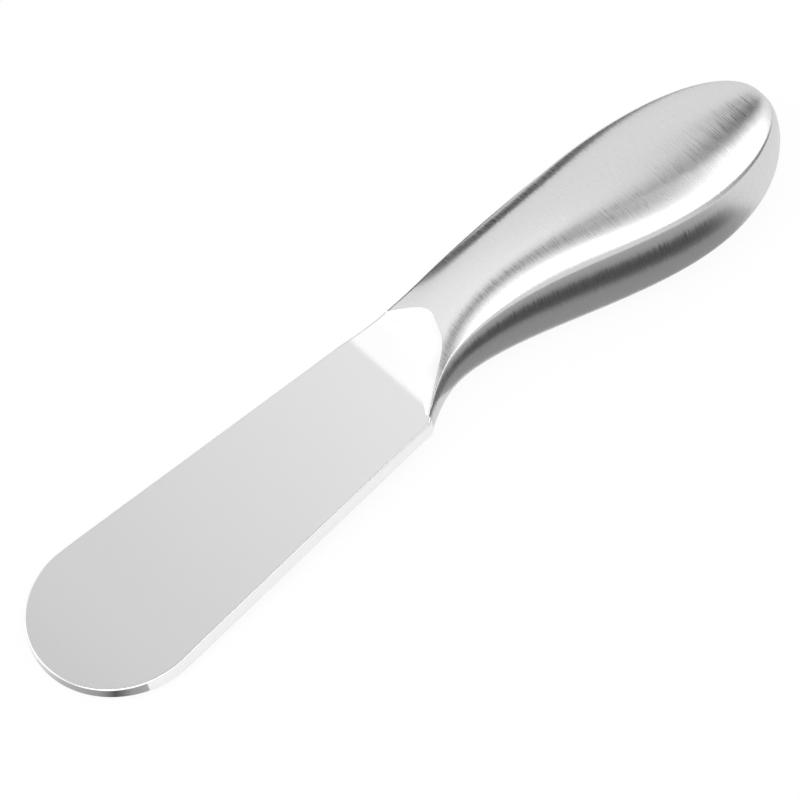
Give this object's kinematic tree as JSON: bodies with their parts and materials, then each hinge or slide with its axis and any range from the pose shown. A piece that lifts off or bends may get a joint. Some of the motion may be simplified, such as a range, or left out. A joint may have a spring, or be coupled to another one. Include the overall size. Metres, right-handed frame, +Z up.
{
  "type": "spreader",
  "caption": "Small all-steel spreader for butter and soft cheese, with a flat round-ended blade and a sculpted hollow handle that swells to one side.",
  "frame": {"origin": "middle of the underside of the resting part's bounding box, on the table", "axes": "+X from the blade's tip to the handle's butt, +Y towards the straight spine side, +Z up from the table"},
  "size_m": [0.1262, 0.0262, 0.016],
  "materials": {
    "blade_steel": "satin stainless steel, ground along the blade",
    "handle_steel": "stainless steel brushed across the handle",
    "weld_steel": "stainless weld metal dressed flush and polished",
    "tang_resin": "cast filler, hidden inside the handle"
  },
  "bodies": {
    "root": {"blade": "blade_steel", "handle_upper_shell": "handle_steel", "handle_lower_shell": "handle_steel", "handle_seam_weld": "handle_steel", "neck_weld_upper": "weld_steel", "neck_weld_lower": "weld_steel", "tang_resin": "tang_resin"}
  },
  "joints": []
}
